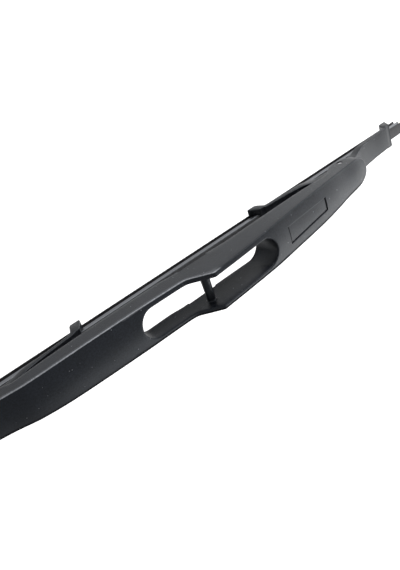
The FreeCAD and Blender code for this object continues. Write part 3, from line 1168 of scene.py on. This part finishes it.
sweep = sweep_tree()
halves = []
for side, name, start, end in (
    (-1.0, "left", rubber_low[0], BLADE_MIDDLE), (1.0, "right", BLADE_MIDDLE, rubber_high[0]),
):
    halves.append((name, "rubber_element", strip_piece(
        "rubber_" + name, rubber_profile(), start, end, rubber, sweep)))
    inset = rail_low[0] - rubber_low[0]
    low = start + inset if side < 0 else start
    high = end - inset if side > 0 else end
    for edge, node_name in ((1.0, "rail_near"), (-1.0, "rail_far")):
        halves.append((name, node_name, strip_piece(
            node_name + "_" + name, rail_profile(edge), low, high, rail_steel, sweep)))

pin_half = pin_high[1]
pin_shoulder = pin_half - PIVOT_CHAMFER_LENGTH
pin_profile = [
    (-pin_half, PIVOT_RADIUS - PIVOT_CHAMFER), (-pin_shoulder, PIVOT_RADIUS),
    (0.0, PIVOT_RADIUS), (pin_shoulder, PIVOT_RADIUS),
    (pin_half, PIVOT_RADIUS - PIVOT_CHAMFER),
]
pins = turned("pivot_pins", 0.0, 0.0, pin_profile)
step = 2.0 * (PIVOT_X - BLADE_MIDDLE)
run_tree(pins, pair_tree(), {
    "First": ((PIVOT_X - step) * MM, 0.0, PIVOT_Z * MM),
    "Step": (step * MM, 0.0, 0.0), "Material": pin_steel})
shade(pins)

# What each piece moves with and stands for
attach(bridge, "bridge_body")
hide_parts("bridge")
for yoke, side in ((yoke_left, "left"), (yoke_right, "right")):
    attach(yoke, "yoke_" + side + "_body")
    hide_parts("yoke_" + side)
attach(pins, "bridge_body")
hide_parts("pivot_pin_left", "pivot_pin_right")
for name, node_name, piece in halves:
    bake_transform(piece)
    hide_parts(node_name)

# Camera at the photograph's viewing angle
CAMERA_PLACE = (-134.606, 136.860, 219.833)
CAMERA_RIGHT = (0.73375, -0.28892, 0.61493)
CAMERA_UP = (0.50490, 0.83750, -0.20897)
CAMERA_BACK = (-0.45462, 0.46381, 0.76039)
LENS = 62.37
SENSOR_WIDTH = 36.0
NEAREST = 0.01
camera_data = bpy.data.cameras.new("camera")
camera_data.sensor_fit = "HORIZONTAL"
camera_data.sensor_width = SENSOR_WIDTH
camera_data.lens = LENS
camera_data.clip_start = NEAREST
camera = bpy.data.objects.new("camera", camera_data)
turn = Matrix((CAMERA_RIGHT, CAMERA_UP, CAMERA_BACK)).transposed().to_4x4()
camera.matrix_world = Matrix.Translation(Vector(CAMERA_PLACE) * MM) @ turn
bpy.context.scene.collection.objects.link(camera)
bpy.context.scene.camera = camera


# Floor, world and lamps
def seen_or_shining(tree, path, mix):
    """Use the mix's second shader for rays from the camera, in gloss and through glass."""
    first, both = tree.nodes.new("ShaderNodeMath"), tree.nodes.new("ShaderNodeMath")
    first.operation = both.operation = "MAXIMUM"
    link(tree, path, "Is Camera Ray", first, 0)
    link(tree, path, "Is Glossy Ray", first, 1)
    link(tree, first, 0, both, 0)
    link(tree, path, "Is Transmission Ray", both, 1)
    link(tree, both, 0, mix, 0)


FLOOR_TONE = 0.9
FLOOR_GLOW = 0.9
FLOOR_SIZE = 3.0
# Room under the lip for the strip when the yokes turn
FLOOR_DROP = 6.8
FLOOR_Z = (rubber_low[2] - FLOOR_DROP) * MM

floor_finish, floor_tree, floor_out = material("white floor")
chalk = floor_tree.nodes.new("ShaderNodeBsdfDiffuse")
chalk.inputs["Color"].default_value = (FLOOR_TONE, FLOOR_TONE, FLOOR_TONE, 1.0)
seen = floor_tree.nodes.new("ShaderNodeAddShader")
glow = floor_tree.nodes.new("ShaderNodeEmission")
glow.inputs["Strength"].default_value = FLOOR_GLOW
link(floor_tree, chalk, 0, seen, 0)
link(floor_tree, glow, 0, seen, 1)
choose = floor_tree.nodes.new("ShaderNodeMixShader")
path = floor_tree.nodes.new("ShaderNodeLightPath")
seen_or_shining(floor_tree, path, choose)
link(floor_tree, chalk, 0, choose, 1)
link(floor_tree, seen, 0, choose, 2)
link(floor_tree, choose, 0, floor_out, "Surface")
floor_mesh = bpy.data.meshes.new("floor")
corners = [(-1, -1), (1, -1), (1, 1), (-1, 1)]
floor_mesh.from_pydata(
    [(x * FLOOR_SIZE, y * FLOOR_SIZE, FLOOR_Z) for x, y in corners], [], [(0, 1, 2, 3)])
floor = new_object("floor", floor_mesh)
floor_mesh.materials.append(floor_finish)

world = bpy.data.worlds.new("studio")
bpy.context.scene.world = world
world.use_nodes = True
sky = world.node_tree
sky.nodes.clear()
sky_out = sky.nodes.new("ShaderNodeOutputWorld")
dim, bright = sky.nodes.new("ShaderNodeBackground"), sky.nodes.new("ShaderNodeBackground")
dim.inputs["Strength"].default_value = 0.0
bright.inputs["Strength"].default_value = 1.0
bright.inputs["Color"].default_value = (1.0, 1.0, 1.0, 1.0)
sky_mix, sky_path = sky.nodes.new("ShaderNodeMixShader"), sky.nodes.new("ShaderNodeLightPath")
seen_or_shining(sky, sky_path, sky_mix)
link(sky, dim, 0, sky_mix, 1)
link(sky, bright, 0, sky_mix, 2)
link(sky, sky_mix, 0, sky_out, "Surface")


def lamp(name, place, target, size, power):
    """A square soft light, aimed at the target."""
    data = bpy.data.lights.new(name, "AREA")
    data.shape = "RECTANGLE"
    data.size, data.size_y = size
    data.energy = power
    thing = new_object(name, data)
    aim = (Vector(target) - Vector(place)).to_track_quat("-Z", "Y").to_matrix().to_4x4()
    thing.matrix_world = Matrix.Translation(place) @ aim


LAMP_DISTANCE = 0.8
LAMP_SIZE = (0.35, 0.32)
# Name, direction round the object in degrees, height in degrees, power
LAMPS = [
    ("front_low", 80.0, 14.0, 2.35), ("front_right_low", 45.0, 14.0, 2.0),
    ("right_low", 10.0, 14.0, 2.0), ("front_left_low", 115.0, 14.0, 0.3),
    ("back_right_low", -20.0, 14.0, 1.1), ("back_low", -45.0, 14.0, 0.9),
    ("back_right", -20.0, 35.0, 0.4), ("back_middle", -45.0, 35.0, 1.3),
    ("back_left", -70.0, 35.0, 1.2), ("right_high", 10.0, 65.0, 0.3),
    ("back_far", -100.0, 35.0, 0.1),
]
for name, round_angle, height_angle, power in LAMPS:
    a, e = math.radians(round_angle), math.radians(height_angle)
    place = (
        LAMP_DISTANCE * math.cos(e) * math.cos(a),
        LAMP_DISTANCE * math.cos(e) * math.sin(a),
        LAMP_DISTANCE * math.sin(e),
    )
    lamp(name, place, (0.0, 0.0, 0.0), LAMP_SIZE, power)

bpy.context.scene.view_settings.view_transform = "Standard"
